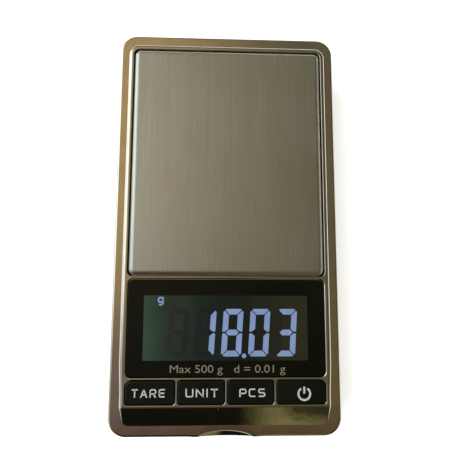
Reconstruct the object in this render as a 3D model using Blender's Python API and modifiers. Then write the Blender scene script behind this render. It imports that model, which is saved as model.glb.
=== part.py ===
"""Pocket gram scale, built as an assembly of separate parts.

Metres, +Z up, +Y from the keys towards the weighing platform.
The origin is at the centre of the footprint, on the surface that the feet stand on.
"""
from math import atan2, cos, hypot, pi, radians, sin

import bmesh
import bpy
from mathutils import Matrix, Vector

MM = 0.001
CLEAR = 0.3 * MM                 # gap left between pieces that touch

# Case outline
CASE_W = 64.4 * MM
CASE_L = 115.8 * MM
CASE_R = 5.0 * MM
WALL = 1.8 * MM
TONGUE_T = 0.7 * MM              # tongue of the lower case, inside the upper one
TONGUE_H = 1.0 * MM
EDGE_ROUND = 0.8 * MM
BASE_ROUND = 1.2 * MM

# Heights
BASE_Z = 0.8 * MM                # underside of the lower case
FLOOR_Z = 2.4 * MM
PARTING_Z = 9.0 * MM
BAND_Z = 18.1 * MM               # flat band round the edge
FRAME_Z = 19.5 * MM              # raised frame
PLATFORM_Z = 20.0 * MM
RECESS_Z = 16.2 * MM             # floor of the platform recess
RECESS_UNDER_Z = 15.0 * MM
LEDGE_Z = 18.0 * MM              # ledge that the window is bonded to
LEDGE_UNDER_Z = 16.8 * MM
KEY_CEILING_Z = 18.1 * MM

# Raised frame
FRAME_HALF_W = 29.4 * MM
FRAME_FRONT = -54.75 * MM
FRAME_BACK = 54.4 * MM
FRAME_R = 3.0 * MM
FRAME_SLOPE = 1.0 * MM           # rounded shoulder of the raised frame
APRON_TOP = -49.6 * MM           # the front apron falls from here down to the band
APRON_STEP = 0.15 * MM           # small step left where it meets the band

# Finger notch in the front edge
NOTCH_W = 14.0 * MM
NOTCH_DEEP = 1.4 * MM
NOTCH_BOTTOM_Z = 16.5 * MM

# Weighing platform and its recess
PAN_HALF_W = 27.7 * MM
PAN_FRONT = -14.0 * MM
PAN_BACK = 52.6 * MM
PAN_R = 1.5 * MM
PAN_SHEET = 0.8 * MM
PAN_SKIRT = 2.8 * MM
RECESS_GAP = 0.5 * MM

# Display window and keys
WINDOW_HALF_W = 27.4 * MM
WINDOW_FRONT = -41.7 * MM
WINDOW_BACK = -15.35 * MM
WINDOW_R = 1.5 * MM
WINDOW_TOP_Z = 19.35 * MM
WINDOW_T = 1.05 * MM
KEY_FRONT = -49.0 * MM
KEY_BACK = -42.4 * MM
KEY_PITCH = 13.5 * MM
KEY_BAR = 0.4 * MM               # chrome bar between two keys
KEY_OUTER_EXTRA = 0.8 * MM       # the first and last key reach out to the window's width
KEY_TOP_Z = 19.55 * MM
KEY_UNDER_Z = 17.4 * MM
KEY_LIP_TOP_Z = 17.8 * MM
KEY_GAP = 0.2 * MM
KEY_R = 0.9 * MM
KEY_CORNER_R = 3.0 * MM          # outer back corner of the first and last key
KEY_NAMES = ("tare", "unit", "count", "power")

# Display stack
LCD_Y = -28.55 * MM
LCD_W = 48.8 * MM
LCD_L = 21.2 * MM
LCD_Z = (16.8 * MM, 18.0 * MM)
LIGHT_L = 16.6 * MM
LIGHT_Z = (15.7 * MM, 16.5 * MM)
STRIP_W = 1.2 * MM
FRAME_WALL = 1.0 * MM
BOARD_Z = (14.6 * MM, 15.4 * MM)
BOARD_FRONT = -52.6 * MM
BOARD_BACK = -16.5 * MM
BOARD_HALF_W = 27.5 * MM
BOARD_SCREW = Vector((20.0 * MM, -51.3 * MM, 0))

# Battery bay: two AAA cells lying across the case
CELL_R = 5.2 * MM
CELL_L = 44.5 * MM
CELL_PITCH = 11.0 * MM
BAY_Y = -30.0 * MM
BAY_HALF_W = 25.0 * MM
BAY_HALF_L = 11.2 * MM
BAY_WALL = 1.0 * MM
BAY_TOP_Z = 13.7 * MM
CELL_Z = 8.15 * MM
DOOR_T = 1.4 * MM
DOOR_HALF_L = 12.0 * MM
DOOR_TONGUE = 0.8 * MM
DOOR_LEFT = -26.8 * MM
PAD_TOP_Z = 3.6 * MM

# Load cell, a beam with two joined cross holes
BEAM_W = 10.0 * MM
BEAM_L = 45.0 * MM
BEAM_Z = (4.7 * MM, 10.7 * MM)
BEAM_Y = 19.3 * MM
BEAM_HOLE_R = 2.25 * MM
BEAM_HOLE_SPAN = 8.0 * MM
FIXED_HOLES = (1.0 * MM, 5.8 * MM)
FREE_HOLES = (32.8 * MM, 37.6 * MM)

# Screws: head radius, head height, shank radius
CASE_SCREW = (2.0 * MM, 1.4 * MM, 1.0 * MM)
BEAM_SCREW = (2.2 * MM, 1.5 * MM, 1.2 * MM)
BOARD_SCREW_SIZE = (1.1 * MM, 0.6 * MM, 0.5 * MM)

CORNER = Vector((CASE_W / 2 - CASE_R, CASE_L / 2 - CASE_R, 0))
CORNER_SIDES = [(sx, sy) for sy in (-1, 1) for sx in (-1, 1)]
FOOT_R = 3.6 * MM
FOOT_T = 1.5 * MM

# Materials: colour, metallic, roughness
FINISHES = {
    "chrome": ((0.62, 0.58, 0.50), 1.0, 0.08),
    "steel": ((0.55, 0.53, 0.47), 1.0, 0.32),
    "black_gloss": ((0.012, 0.012, 0.010), 0.0, 0.06),
    "black_plastic": ((0.02, 0.02, 0.022), 0.0, 0.45),
    "rubber": ((0.03, 0.03, 0.03), 0.0, 0.85),
    "lcd_glass": ((0.02, 0.03, 0.02), 0.0, 0.12),
    "light_guide": ((0.75, 0.80, 0.95), 0.0, 0.4),
    "white_plastic": ((0.75, 0.75, 0.72), 0.0, 0.5),
    "board_green": ((0.02, 0.18, 0.07), 0.0, 0.4),
    "aluminium": ((0.75, 0.75, 0.76), 1.0, 0.35),
    "zinc_steel": ((0.60, 0.60, 0.62), 1.0, 0.3),
    "cell_jacket": ((0.10, 0.28, 0.16), 0.1, 0.35),
    "foil_orange": ((0.70, 0.35, 0.08), 0.0, 0.4),
    "wire_red": ((0.6, 0.03, 0.03), 0.0, 0.4),
    "wire_black": ((0.02, 0.02, 0.02), 0.0, 0.4),
    "wire_white": ((0.8, 0.8, 0.8), 0.0, 0.4),
    "wire_green": ((0.03, 0.4, 0.08), 0.0, 0.4),
}


def clear_scene():
    for obj in list(bpy.data.objects):
        bpy.data.objects.remove(obj, do_unlink=True)


def new_collection(name):
    coll = bpy.data.collections.new(name)
    bpy.context.scene.collection.children.link(coll)
    return coll


def make_material(name, finish):
    colour, metallic, roughness = FINISHES[finish]
    mat = bpy.data.materials.new(name)
    mat.use_nodes = True
    shader = mat.node_tree.nodes["Principled BSDF"]
    shader.inputs["Base Color"].default_value = (*colour, 1)
    shader.inputs["Metallic"].default_value = metallic
    shader.inputs["Roughness"].default_value = roughness
    mat.diffuse_color = (*colour, 1)
    return mat


def arc(centre, radius, start_deg, end_deg, steps):
    """Points along an arc, both ends included."""
    points = []
    for i in range(steps + 1):
        angle = radians(start_deg + (end_deg - start_deg) * i / steps)
        points.append((centre[0] + radius * cos(angle), centre[1] + radius * sin(angle)))
    return points


def rounded_outline(x0, x1, y0, y1, radii, steps=8):
    """Rectangle with its own radius at each corner: back right, back left, front left, front right."""
    corners = ((x1, y1, -1, -1, 0), (x0, y1, 1, -1, 90), (x0, y0, 1, 1, 180), (x1, y0, -1, 1, 270))
    points = []
    for (cx, cy, sx, sy, start), radius in zip(corners, radii):
        centre = (cx + sx * radius, cy + sy * radius)
        points += arc(centre, radius, start, start + 90, steps)
    return points


def curve_to_mesh(curve_obj, name):
    """Turn a curve object into a welded mesh object and drop the curve."""
    graph = bpy.context.evaluated_depsgraph_get()
    mesh = bpy.data.meshes.new_from_object(curve_obj.evaluated_get(graph))
    bm = bmesh.new()
    bm.from_mesh(mesh)
    bmesh.ops.remove_doubles(bm, verts=bm.verts, dist=0.00001)
    bmesh.ops.recalc_face_normals(bm, faces=bm.faces)
    bm.to_mesh(mesh)
    bm.free()
    mesh.materials.clear()
    obj = bpy.data.objects.new(name, mesh)
    obj.matrix_world = curve_obj.matrix_world.copy()
    curve = curve_obj.data
    bpy.data.objects.remove(curve_obj, do_unlink=True)
    bpy.data.curves.remove(curve)
    return obj


def plate(name, outline, z_range):
    """Flat outline extruded between two heights, as a mesh object."""
    low, high = z_range
    curve = bpy.data.curves.new(name + "_outline", "CURVE")
    curve.dimensions = "2D"
    curve.fill_mode = "BOTH"
    curve.extrude = (high - low) / 2
    spline = curve.splines.new("POLY")
    spline.points.add(len(outline) - 1)
    for point, (x, y) in zip(spline.points, outline):
        point.co = (x, y, 0, 1)
    spline.use_cyclic_u = True
    curve_obj = bpy.data.objects.new(name + "_curve", curve)
    bpy.context.scene.collection.objects.link(curve_obj)
    curve_obj.location.z = (low + high) / 2
    bpy.context.view_layer.update()
    return curve_to_mesh(curve_obj, name)


def round_edges(obj, height, width, segments=3):
    """Round every edge of a plate that lies at one height."""
    local = height - obj.matrix_world.translation.z
    bm = bmesh.new()
    bm.from_mesh(obj.data)
    edges = [e for e in bm.edges if all(abs(v.co.z - local) < 0.00001 for v in e.verts)
             and e.calc_face_angle(0) > 0.5]
    bmesh.ops.bevel(bm, geom=edges, offset=width, segments=segments, profile=0.5,
                    affect="EDGES", clamp_overlap=True)
    bm.to_mesh(obj.data)
    bm.free()


def box(name, x_range, y_range, z_range):
    low = Vector((x_range[0], y_range[0], z_range[0]))
    high = Vector((x_range[1], y_range[1], z_range[1]))
    mesh = bpy.data.meshes.new(name)
    bm = bmesh.new()
    bmesh.ops.create_cube(bm, size=1.0, matrix=Matrix.Diagonal((*(high - low), 1)))
    bm.to_mesh(mesh)
    bm.free()
    obj = bpy.data.objects.new(name, mesh)
    obj.location = (low + high) / 2
    return obj


def cylinder(name, centre, radius, length, axis="Z", sides=24):
    turn = {"X": Matrix.Rotation(pi / 2, 4, "Y"), "Y": Matrix.Rotation(pi / 2, 4, "X"),
            "Z": Matrix.Identity(4)}[axis]
    mesh = bpy.data.meshes.new(name)
    bm = bmesh.new()
    bmesh.ops.create_cone(bm, cap_ends=True, segments=sides, radius1=radius, radius2=radius,
                          depth=length, matrix=turn)
    bm.to_mesh(mesh)
    bm.free()
    mesh.shade_smooth()
    mesh.set_sharp_from_angle(angle=radians(40))
    obj = bpy.data.objects.new(name, mesh)
    obj.location = centre
    return obj


def post(name, x, y, radius, z_range, sides=24):
    low, high = z_range
    return cylinder(name, (x, y, (low + high) / 2), radius, high - low, "Z", sides)


def turned(name, profile, sides=24):
    """Closed profile of (radius, height) points, listed top to bottom, turned about Z."""
    mesh = bpy.data.meshes.new(name)
    mesh.from_pydata([(r, 0, z) for r, z in profile], [(i, i + 1) for i in range(len(profile) - 1)], [])
    obj = bpy.data.objects.new(name, mesh)
    screw = obj.modifiers.new("Turn", "SCREW")
    screw.steps = sides
    screw.render_steps = sides
    screw.use_merge_vertices = True
    screw.merge_threshold = 0.00001
    return obj


class Assembly:
    """Keeps the finished parts in one collection and the cutters in another."""

    def __init__(self, name):
        self.parts = new_collection(name)
        self.tools = new_collection(name + "_cutters")

    def add(self, obj, finish):
        self.parts.objects.link(obj)
        obj.data.materials.clear()
        obj.data.materials.append(make_material(obj.name + "_finish", finish))
        return obj

    def tool(self, obj):
        self.tools.objects.link(obj)
        obj.hide_render = True
        obj.display_type = "WIRE"
        return obj

    def combine(self, target, others, operation):
        for i, other in enumerate(others):
            self.tool(other)
            mod = target.modifiers.new(f"{operation}_{i}", "BOOLEAN")
            mod.operation = operation
            mod.solver = "EXACT"
            mod.object = other
        return target

    def join(self, target, others):
        return self.combine(target, others, "UNION")

    def cut(self, target, others):
        return self.combine(target, others, "DIFFERENCE")


def corner_name(sx, sy):
    return ("left" if sx < 0 else "right") + "_" + ("front" if sy < 0 else "back")


def key_span(index):
    """Left and right edge of one key's opening."""
    left = -2 * KEY_PITCH + index * KEY_PITCH + KEY_BAR / 2
    right = left + KEY_PITCH - KEY_BAR
    if index == 0:
        left -= KEY_OUTER_EXTRA
    if index == len(KEY_NAMES) - 1:
        right += KEY_OUTER_EXTRA
    return left, right


def key_radii(index, inset=0.0):
    last = len(KEY_NAMES) - 1
    back_right = KEY_CORNER_R if index == last else KEY_R
    back_left = KEY_CORNER_R if index == 0 else KEY_R
    return [r - inset for r in (back_right, back_left, KEY_R, KEY_R)]


def inner_outline(grow=0.0):
    """Outline of the inside of the case walls, moved out by grow."""
    x, y, r = CASE_W / 2 - WALL + grow, CASE_L / 2 - WALL + grow, CASE_R - WALL + grow
    return rounded_outline(-x, x, -y, y, [r] * 4)


def build_lower_case(asm):
    half_w, half_l = CASE_W / 2, CASE_L / 2
    case = plate("lower_case", rounded_outline(-half_w, half_w, -half_l, half_l, [CASE_R] * 4),
                 (BASE_Z, PARTING_Z))
    round_edges(case, BASE_Z, BASE_ROUND)
    asm.add(case, "black_plastic")
    asm.join(case, [plate("tongue", inner_outline(TONGUE_T), (FLOOR_Z, PARTING_Z + TONGUE_H))])
    asm.cut(case, [plate("tray_hollow", inner_outline(), (FLOOR_Z, PARTING_Z + 2 * TONGUE_H))])

    bay_w, bay_l = BAY_HALF_W + BAY_WALL, BAY_HALF_L + BAY_WALL
    pad_l = DOOR_HALF_L + DOOR_TONGUE + CLEAR + BAY_WALL
    embed = 0.5 * MM
    solids = [box("bay_block", (-bay_w, bay_w), (BAY_Y - bay_l, BAY_Y + bay_l),
                  (FLOOR_Z - embed, BAY_TOP_Z + 0.6 * MM)),
              box("door_pad", (-28.2 * MM, half_w - embed), (BAY_Y - pad_l, BAY_Y + pad_l),
                  (FLOOR_Z - embed, PAD_TOP_Z)),
              box("beam_seat", (-BEAM_W / 2, BEAM_W / 2), (-3.2 * MM, 8.6 * MM),
                  (FLOOR_Z - embed, BEAM_Z[0] - CLEAR))]
    for sx, sy in CORNER_SIDES:
        solids.append(post("case_post_" + corner_name(sx, sy), sx * CORNER.x, sy * CORNER.y, 3.1 * MM,
                           (FLOOR_Z - embed, PARTING_Z)))
    asm.join(case, solids)

    cuts = [box("bay_hollow", (-BAY_HALF_W, BAY_HALF_W), (BAY_Y - BAY_HALF_L, BAY_Y + BAY_HALF_L),
                (0, BAY_TOP_Z)),
            box("door_slot", (DOOR_LEFT - CLEAR, CASE_W), (BAY_Y - DOOR_HALF_L - CLEAR,
                BAY_Y + DOOR_HALF_L + CLEAR), (0, 1.8 * MM)),
            box("door_groove", (DOOR_LEFT - CLEAR, CASE_W),
                (BAY_Y - DOOR_HALF_L - DOOR_TONGUE - CLEAR, BAY_Y + DOOR_HALF_L + DOOR_TONGUE + CLEAR),
                (BASE_Z + 0.5 * MM, BASE_Z + DOOR_T + CLEAR))]
    for side in (-1, 1):
        cuts.append(box("tab_slot", (22.9 * MM, BAY_HALF_W), (BAY_Y + side * CELL_PITCH / 2 - 1.5 * MM,
                        BAY_Y + side * CELL_PITCH / 2 + 1.5 * MM), (BAY_TOP_Z - MM, BAY_TOP_Z + 2 * MM)))
    for sx, sy in CORNER_SIDES:
        name, x, y = corner_name(sx, sy), sx * CORNER.x, sy * CORNER.y
        cuts += [post("foot_recess_" + name, x, y, FOOT_R + CLEAR, (0, FOOT_T + CLEAR)),
                 post("head_bore_" + name, x, y, CASE_SCREW[0] + CLEAR, (MM, 3.8 * MM)),
                 post("shank_bore_" + name, x, y, CASE_SCREW[2] + CLEAR, (MM, PARTING_Z + MM), 16)]
    for i, y in enumerate(FIXED_HOLES):
        cuts.append(post(f"seat_bore_{i}", 0, y, BEAM_SCREW[2] + CLEAR, (1.7 * MM, 6 * MM), 16))
    cuts.append(post("stop_bore", 0, FREE_HOLES[1], 1.5 * MM + CLEAR, (-MM, 6 * MM), 16))
    return asm.cut(case, cuts)


def build_upper_case(asm):
    half_w, half_l = CASE_W / 2, CASE_L / 2
    low = PARTING_Z + CLEAR
    case = plate("upper_case", rounded_outline(-half_w, half_w, -half_l, half_l, [CASE_R] * 4, 8),
                 (low, BAND_Z))
    round_edges(case, BAND_Z, EDGE_ROUND)
    asm.add(case, "chrome")
    raised = plate("raised_frame", rounded_outline(-FRAME_HALF_W, FRAME_HALF_W, FRAME_FRONT, FRAME_BACK,
                                                   [FRAME_R] * 4), (BAND_Z - MM, FRAME_Z))
    round_edges(raised, FRAME_Z, FRAME_SLOPE)
    asm.join(case, [raised])

    # The apron: a wedge taken off the front of the raised frame, from its top almost down to the band.
    run, drop = APRON_TOP - FRAME_FRONT, FRAME_Z - BAND_Z - APRON_STEP
    slope, length = atan2(drop, run), hypot(run, drop)
    wedge = box("apron_wedge", (-CASE_W, CASE_W), (-length, 0), (0, 10 * MM))
    wedge.data.transform(Matrix.Translation(wedge.location))
    wedge.rotation_euler.x = slope
    wedge.location = (0, APRON_TOP, FRAME_Z)

    front_w = FRAME_HALF_W - 1.4 * MM
    key_hollow_back = KEY_BACK + 0.5 * MM
    cuts = [wedge,
            plate("shell_hollow", inner_outline(), (low - MM, RECESS_UNDER_Z)),
            plate("tongue_rabbet", inner_outline(TONGUE_T + CLEAR), (low - MM, PARTING_Z + TONGUE_H + CLEAR)),
            box("display_hollow", (-front_w, front_w), (key_hollow_back - CLEAR, -16.2 * MM),
                (RECESS_UNDER_Z - MM, LEDGE_UNDER_Z)),
            box("key_hollow", (-front_w, front_w), (-50.6 * MM, key_hollow_back),
                (RECESS_UNDER_Z - MM, KEY_CEILING_Z)),
            box("front_hollow", (-front_w, front_w), (-53.2 * MM, -50.0 * MM),
                (RECESS_UNDER_Z - MM, 16.4 * MM))]
    cuts.append(plate("pan_recess", rounded_outline(
        -PAN_HALF_W - RECESS_GAP, PAN_HALF_W + RECESS_GAP, PAN_FRONT - RECESS_GAP,
        PAN_BACK + RECESS_GAP, [PAN_R + RECESS_GAP / 2] * 4), (RECESS_Z, PLATFORM_Z + MM)))
    cuts.append(box("carrier_opening", (-9 * MM, 9 * MM), (27 * MM, 44 * MM), (10 * MM, 18 * MM)))
    gap = 0.15 * MM
    cuts.append(plate("window_recess", rounded_outline(
        -WINDOW_HALF_W - gap, WINDOW_HALF_W + gap, WINDOW_FRONT - gap, WINDOW_BACK + gap,
        [WINDOW_R] * 4), (LEDGE_Z, PLATFORM_Z + MM)))
    cuts.append(box("window_opening", (-26 * MM, 26 * MM), (-40.9 * MM, -16.1 * MM),
                    (10 * MM, PLATFORM_Z)))
    for i, name in enumerate(KEY_NAMES):
        left, right = key_span(i)
        cuts.append(plate(name + "_opening", rounded_outline(left, right, KEY_FRONT, KEY_BACK, key_radii(i), 4),
                          (KEY_CEILING_Z - MM, PLATFORM_Z + MM)))

    bulge = (NOTCH_W ** 2 / 4 + NOTCH_DEEP ** 2) / (2 * NOTCH_DEEP)
    notch = post("finger_notch", 0, -half_l + NOTCH_DEEP - bulge, bulge, (NOTCH_BOTTOM_Z, PLATFORM_Z), 96)
    cuts.append(notch)
    asm.cut(case, cuts)

    posts = []
    for sx, sy in CORNER_SIDES:
        posts.append(post("screw_post_" + corner_name(sx, sy), sx * CORNER.x, sy * CORNER.y, 3.1 * MM,
                          (low, RECESS_UNDER_Z + 0.5 * MM)))
    for sx in (-1, 1):
        posts.append(post("board_post", sx * BOARD_SCREW.x, BOARD_SCREW.y, 1.4 * MM,
                          (BOARD_Z[1] + CLEAR, 16.9 * MM), 16))
    asm.join(case, posts)
    bores = []
    for sx, sy in CORNER_SIDES:
        bores.append(post("screw_bore_" + corner_name(sx, sy), sx * CORNER.x, sy * CORNER.y,
                          CASE_SCREW[2] + CLEAR, (low - MM, 14.6 * MM), 16))
    for sx in (-1, 1):
        bores.append(post("board_bore", sx * BOARD_SCREW.x, BOARD_SCREW.y, BOARD_SCREW_SIZE[2] + CLEAR,
                          (BOARD_Z[1], 16.7 * MM), 12))
    return asm.cut(case, bores)


def build_platform(asm):
    outline = rounded_outline(-PAN_HALF_W, PAN_HALF_W, PAN_FRONT, PAN_BACK, [PAN_R] * 4)
    pan = plate("weighing_platform", outline, (PLATFORM_Z - PAN_SKIRT, PLATFORM_Z))
    round_edges(pan, PLATFORM_Z, 1.1 * MM, 4)
    asm.add(pan, "steel")
    inset = PAN_SHEET
    asm.cut(pan, [plate("pan_hollow", rounded_outline(
        -PAN_HALF_W + inset, PAN_HALF_W - inset, PAN_FRONT + inset, PAN_BACK - inset,
        [PAN_R - inset / 2] * 4), (PLATFORM_Z - PAN_SKIRT - MM, PLATFORM_Z - PAN_SHEET - 0.4 * MM))])

    top = PLATFORM_Z - PAN_SHEET - 0.4 * MM - CLEAR
    carrier = box("platform_carrier", (-25.5 * MM, 25.5 * MM), (-11.5 * MM, 50.2 * MM),
                  (top - 1.4 * MM, top))
    asm.add(carrier, "black_plastic")
    mid = sum(FREE_HOLES) / 2
    foot = box("carrier_foot", (-6.5 * MM, 6.5 * MM), (mid - 6 * MM, mid + 6 * MM),
               (BEAM_Z[1] + CLEAR, top - 0.5 * MM))
    ribs = [box(f"carrier_rib_{i}", (x - 0.6 * MM, x + 0.6 * MM), (-9 * MM, 26 * MM),
                (top - 1.9 * MM, top - MM)) for i, x in enumerate((-16 * MM, 0, 16 * MM))]
    asm.join(carrier, [foot] + ribs)
    bores = []
    for i, y in enumerate(FREE_HOLES):
        bores += [post(f"carrier_head_bore_{i}", 0, y, BEAM_SCREW[0] + CLEAR, (13.2 * MM, 20 * MM), 20),
                  post(f"carrier_bore_{i}", 0, y, BEAM_SCREW[2] + CLEAR, (8 * MM, 20 * MM), 16)]
    asm.cut(carrier, bores)


def build_window(asm):
    lens = plate("display_window", rounded_outline(-WINDOW_HALF_W, WINDOW_HALF_W, WINDOW_FRONT, WINDOW_BACK,
                                                   [WINDOW_R] * 4), (WINDOW_TOP_Z - WINDOW_T, WINDOW_TOP_Z))
    round_edges(lens, WINDOW_TOP_Z, 0.2 * MM, 1)
    asm.add(lens, "black_gloss")


def build_display(asm):
    half_w, half_l = LCD_W / 2, LCD_L / 2
    asm.add(box("lcd_panel", (-half_w, half_w), (LCD_Y - half_l, LCD_Y + half_l), LCD_Z), "lcd_glass")
    light = box("lcd_backlight", (-half_w + MM, half_w - MM), (LCD_Y - LIGHT_L / 2, LCD_Y + LIGHT_L / 2),
                LIGHT_Z)
    asm.add(light, "light_guide")
    for name, side in (("front", -1), ("back", 1)):
        y = LCD_Y + side * (half_l - STRIP_W / 2 - CLEAR)
        asm.add(box("contact_strip_" + name, (-22 * MM, 22 * MM), (y - STRIP_W / 2, y + STRIP_W / 2),
                    LIGHT_Z), "rubber")
    inner_w, inner_l = half_w + CLEAR, half_l + CLEAR
    outer_w, outer_l = inner_w + FRAME_WALL, inner_l + FRAME_WALL
    frame_z = (LIGHT_Z[0], LCD_Z[1] - 0.2 * MM)
    frame = box("lcd_frame", (-outer_w, outer_w), (LCD_Y - outer_l, LCD_Y + outer_l), frame_z)
    asm.add(frame, "white_plastic")
    asm.cut(frame, [box("lcd_frame_hollow", (-inner_w, inner_w), (LCD_Y - inner_l, LCD_Y + inner_l),
                        (frame_z[0] - MM, frame_z[1] + MM))])


def build_board(asm):
    board = box("main_circuit_board", (-BOARD_HALF_W, BOARD_HALF_W), (BOARD_FRONT, BOARD_BACK), BOARD_Z)
    asm.add(board, "board_green")
    cuts = []
    for side in (-1, 1):
        near, far = 22.8 * MM, BOARD_HALF_W + MM
        x_range = (near, far) if side > 0 else (-far, -near)
        cuts.append(box("board_corner", x_range, (BOARD_FRONT - MM, -49.4 * MM),
                        (BOARD_Z[0] - MM, BOARD_Z[1] + MM)))
        cuts.append(post("board_hole", side * BOARD_SCREW.x, BOARD_SCREW.y, BOARD_SCREW_SIZE[2] + CLEAR,
                         (BOARD_Z[0] - MM, BOARD_Z[1] + MM), 12))
    asm.cut(board, cuts)
    asm.add(box("controller_chip", (-3.5 * MM, 3.5 * MM), (-51.9 * MM, -49.9 * MM),
                (BOARD_Z[1] + 0.1 * MM, BOARD_Z[1] + 0.9 * MM)), "black_plastic")
    for name, side in (("left", -1), ("right", 1)):
        add_screw(asm, "board_screw_" + name, (side * BOARD_SCREW.x, BOARD_SCREW.y),
                  BOARD_Z[0] - CLEAR, 16.4 * MM, BOARD_SCREW_SIZE, head_down=True)


def build_keys(asm):
    for i, name in enumerate(KEY_NAMES):
        left, right = key_span(i)
        outline = rounded_outline(left + KEY_GAP, right - KEY_GAP, KEY_FRONT + KEY_GAP,
                                  KEY_BACK - KEY_GAP, key_radii(i, KEY_GAP), 4)
        key = plate(name + "_key", outline, (KEY_UNDER_Z, KEY_TOP_Z))
        round_edges(key, KEY_TOP_Z, 0.35 * MM, 2)
        asm.add(key, "black_plastic")
        lip = box(name + "_key_lip", (left + 2 * MM, right - 2 * MM), (KEY_FRONT - 0.7 * MM, -46 * MM),
                  (KEY_UNDER_Z, KEY_LIP_TOP_Z))
        asm.join(key, [lip])

        x, y = (left + right) / 2, (KEY_FRONT + KEY_BACK) / 2
        housing = box(name + "_switch", (x - 2.3 * MM, x + 2.3 * MM), (y - 2.3 * MM, y + 2.3 * MM),
                      (BOARD_Z[1] + 0.1 * MM, 16.7 * MM))
        asm.add(housing, "zinc_steel")
        asm.cut(housing, [post(name + "_switch_bore", x, y, 1.3 * MM, (15 * MM, 18 * MM), 16)])
        asm.add(post(name + "_switch_plunger", x, y, 1.0 * MM, (16.0 * MM, KEY_UNDER_Z - 0.2 * MM), 16),
                "black_plastic")


def build_battery_bay(asm):
    cell_rings = [(0, CELL_L / 2), (1.7, CELL_L / 2), (1.9, CELL_L / 2 - 0.2 * MM)]
    profile = [(r * MM if r > 0.1 else r, z) for r, z in cell_rings]
    shoulder = CELL_L / 2 - 1.0 * MM
    profile += [(1.9 * MM, shoulder), (CELL_R - 0.5 * MM, shoulder), (CELL_R, shoulder - 0.5 * MM),
                (CELL_R, -CELL_L / 2 + 0.5 * MM), (CELL_R - 0.5 * MM, -CELL_L / 2), (0, -CELL_L / 2)]
    centre = 1.4 * MM
    plate_x = 24.4 * MM
    for number, side in ((1, 1), (2, -1)):
        cell = turned(f"battery_{number}", profile)
        cell.rotation_euler.y = side * pi / 2
        cell.location = (side * centre, BAY_Y + side * CELL_PITCH / 2, CELL_Z)
        asm.add(cell, "cell_jacket")
        cell_end = side * (centre - CELL_L / 2)
        add_spring(asm, f"battery_spring_{number}", cell_end, -side, BAY_Y + side * CELL_PITCH / 2)
    half = 0.2 * MM
    contact_z = (4.2 * MM, 12.4 * MM)
    reach = CELL_PITCH / 2 + 4.2 * MM
    asm.add(box("link_contact", (-plate_x - half, -plate_x + half), (BAY_Y - reach, BAY_Y + reach), contact_z),
            "zinc_steel")
    for name, side in (("plus", 1), ("minus", -1)):
        y = BAY_Y + side * CELL_PITCH / 2
        contact = box(name + "_contact", (plate_x - half, plate_x + half), (y - 4.2 * MM, y + 4.2 * MM),
                      contact_z)
        asm.add(contact, "zinc_steel")
        asm.join(contact, [box(name + "_tab", (plate_x - half, plate_x + half), (y - MM, y + MM),
                               (contact_z[1] - MM, BOARD_Z[0] - 0.2 * MM))])
    build_door(asm)


def add_spring(asm, name, cell_end, direction, y):
    """Conical coil between the flat end of a cell and its contact plate."""
    turns, per_turn, length = 2.5, 10, 1.7 * MM
    wire = 0.28 * MM
    count = int(turns * per_turn)
    curve = bpy.data.curves.new(name, "CURVE")
    curve.dimensions = "3D"
    curve.bevel_depth = wire
    curve.bevel_resolution = 1
    curve.use_fill_caps = True
    spline = curve.splines.new("POLY")
    spline.points.add(count)
    start = cell_end + direction * (CLEAR + wire)
    for i, point in enumerate(spline.points):
        t = i / count
        angle = 2 * pi * turns * t
        radius = (1.8 + 1.6 * t) * MM
        point.co = (start + direction * length * t, y + radius * cos(angle), CELL_Z + radius * sin(angle), 1)
    return asm.add(bpy.data.objects.new(name, curve), "zinc_steel")


def build_door(asm):
    right = CASE_W / 2
    groove_z = BASE_Z + 0.75 * MM
    top = BASE_Z + DOOR_T
    door = box("battery_door", (DOOR_LEFT, right), (BAY_Y - DOOR_HALF_L, BAY_Y + DOOR_HALF_L), (BASE_Z, top))
    mesh = door.data
    bm = bmesh.new()
    bm.from_mesh(mesh)
    edges = [e for e in bm.edges if all(v.co.x > 0 and v.co.z < 0 for v in e.verts)]
    bmesh.ops.bevel(bm, geom=edges, offset=BASE_ROUND, segments=3, profile=0.5, affect="EDGES")
    bm.to_mesh(mesh)
    bm.free()
    asm.add(door, "black_plastic")
    reach = DOOR_HALF_L + DOOR_TONGUE
    asm.join(door, [box("door_tongues", (DOOR_LEFT, right - 2 * MM), (BAY_Y - reach, BAY_Y + reach),
                        (groove_z, top))])


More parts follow.
